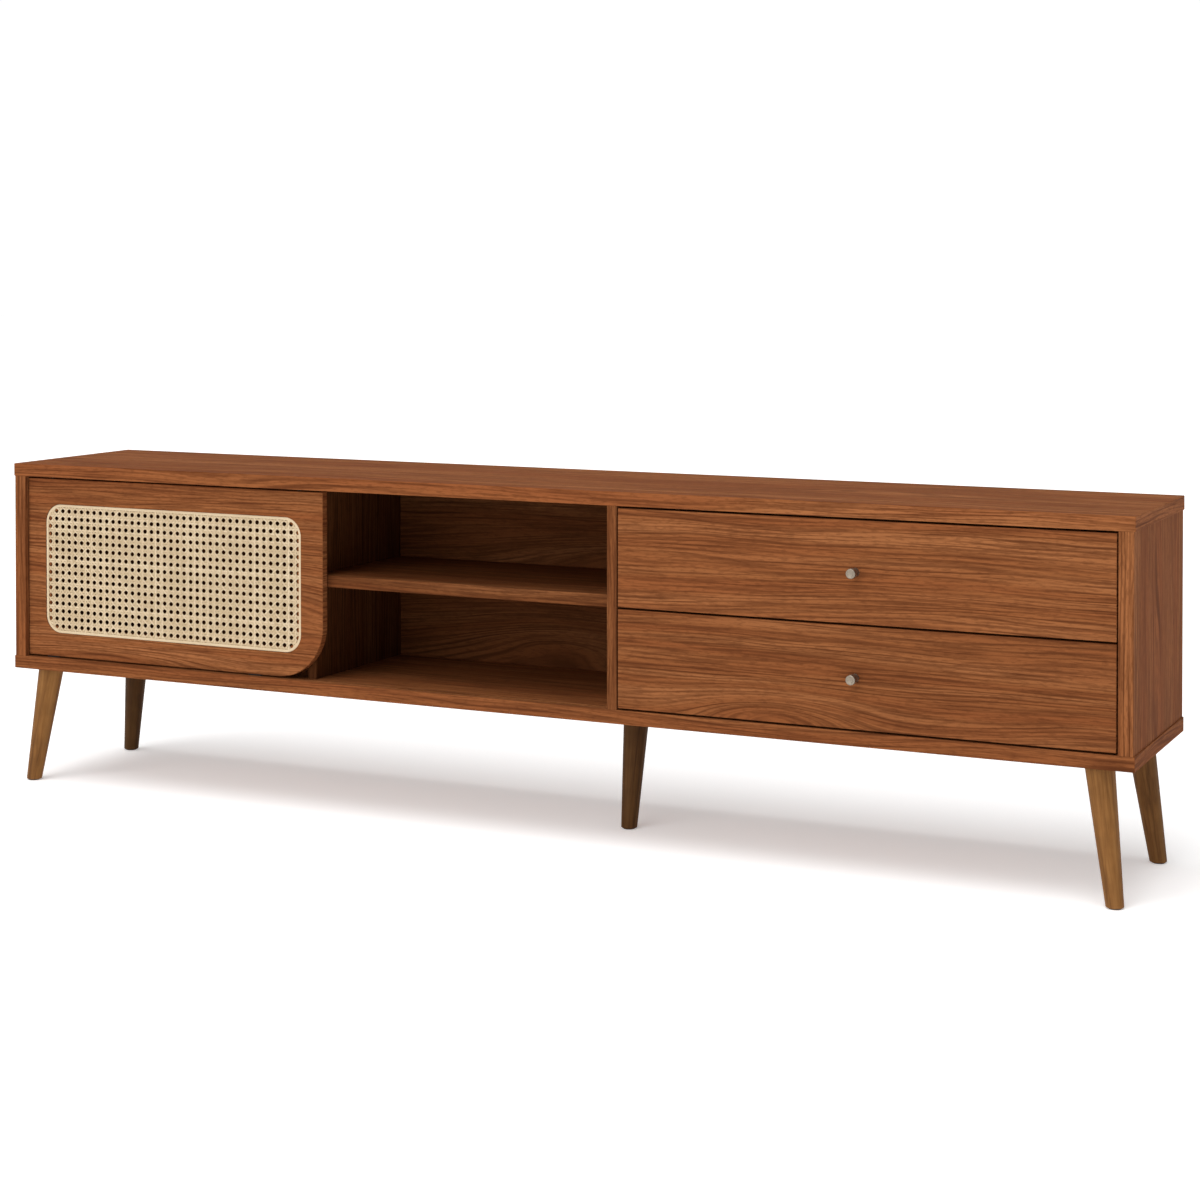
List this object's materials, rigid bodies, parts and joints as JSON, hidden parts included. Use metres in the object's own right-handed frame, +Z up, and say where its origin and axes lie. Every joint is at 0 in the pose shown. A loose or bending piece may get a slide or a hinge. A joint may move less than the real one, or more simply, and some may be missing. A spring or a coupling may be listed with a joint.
{
  "type": "tv stand",
  "caption": "Long low media stand on splayed tapered legs, with a sliding cane door at the left, an open bay with a shelf in the middle and stacked drawers at the right.",
  "frame": {"origin": "middle of the overall footprint, drawer knobs included, at floor level", "axes": "+X along the width towards the drawers, +Y towards the back, +Z up"},
  "size_m": [1.8, 0.318, 0.5085],
  "materials": {
    "walnut_board": "walnut-pattern foil on particle board, fine grain along the boards, satin",
    "leg_wood": "solid rubberwood, walnut stain, satin lacquer",
    "cane": "natural woven rattan cane, octagonal holes, matt",
    "back_board": "thin hardboard with walnut-pattern foil",
    "drawer_board": "walnut-pattern foil on particle board, matt",
    "drawer_bottom_board": "thin hardboard with walnut-pattern foil",
    "dowel_wood": "plain beech",
    "knob_metal": "satin nickel",
    "zinc_steel": "bright zinc-plated steel",
    "zinc": "die-cast zinc",
    "nylon": "dark brown nylon"
  },
  "bodies": {
    "cabinet": {"top_panel": "walnut_board", "bottom_panel": "walnut_board", "left_side_panel": "walnut_board", "right_side_panel": "walnut_board", "left_divider": "walnut_board", "right_divider": "walnut_board", "middle_shelf": "walnut_board", "back_panel": "back_board", "shelf_pins": "zinc_steel", "panel_dowels": "dowel_wood", "panel_cams": "zinc", "panel_cam_bolts": "zinc_steel", "front_left_leg": "leg_wood", "front_right_leg": "leg_wood", "rear_left_leg": "leg_wood", "rear_right_leg": "leg_wood", "centre_leg": "leg_wood", "leg_inserts": "zinc_steel", "leg_bolts": "zinc_steel", "foot_glides": "nylon", "upper_left_rail": "zinc_steel", "upper_right_rail": "zinc_steel", "lower_left_rail": "zinc_steel", "lower_right_rail": "zinc_steel", "rail_screws": "zinc_steel"},
    "sliding_door": {"door_panel": "walnut_board", "cane_panel": "cane", "door_top_guides": "nylon", "door_bottom_glides": "nylon"},
    "upper_drawer": {"upper_drawer_front": "walnut_board", "upper_drawer_left_side": "drawer_board", "upper_drawer_right_side": "drawer_board", "upper_drawer_back": "drawer_board", "upper_drawer_bottom": "drawer_bottom_board", "upper_drawer_cams": "zinc", "upper_drawer_cam_bolts": "zinc_steel", "upper_drawer_box_screws": "zinc_steel", "upper_knob": "knob_metal", "upper_knob_screw": "zinc_steel", "upper_left_runner": "zinc_steel", "upper_right_runner": "zinc_steel", "upper_runner_screws": "zinc_steel"},
    "lower_drawer": {"lower_drawer_front": "walnut_board", "lower_drawer_left_side": "drawer_board", "lower_drawer_right_side": "drawer_board", "lower_drawer_back": "drawer_board", "lower_drawer_bottom": "drawer_bottom_board", "lower_drawer_cams": "zinc", "lower_drawer_cam_bolts": "zinc_steel", "lower_drawer_box_screws": "zinc_steel", "lower_knob": "knob_metal", "lower_knob_screw": "zinc_steel", "lower_left_runner": "zinc_steel", "lower_right_runner": "zinc_steel", "lower_runner_screws": "zinc_steel"},
    "upper_ball_cages": {"upper_ball_cages": "zinc_steel", "upper_slide_balls": "zinc_steel"},
    "lower_ball_cages": {"lower_ball_cages": "zinc_steel", "lower_slide_balls": "zinc_steel"}
  },
  "joints": [
    {"name": "door_slide", "type": "slide", "parent": "cabinet", "child": "sliding_door", "axis": [1, 0, 0], "range_m": [0, 0.4755]},
    {"name": "upper_drawer_slide", "type": "slide", "parent": "cabinet", "child": "upper_drawer", "axis": [0, -1, 0], "range_m": [0, 0.18]},
    {"name": "lower_drawer_slide", "type": "slide", "parent": "cabinet", "child": "lower_drawer", "axis": [0, -1, 0], "range_m": [0, 0.18]},
    {"name": "upper_cage_roll", "type": "slide", "parent": "cabinet", "child": "upper_ball_cages", "axis": [0, -1, 0], "range_m": [0, 0.09]},
    {"name": "lower_cage_roll", "type": "slide", "parent": "cabinet", "child": "lower_ball_cages", "axis": [0, -1, 0], "range_m": [0, 0.09]}
  ],
  "couplings": [
    {"joint": "upper_cage_roll", "follows": "upper_drawer_slide", "ratio": 0.5},
    {"joint": "lower_cage_roll", "follows": "lower_drawer_slide", "ratio": 0.5}
  ]
}
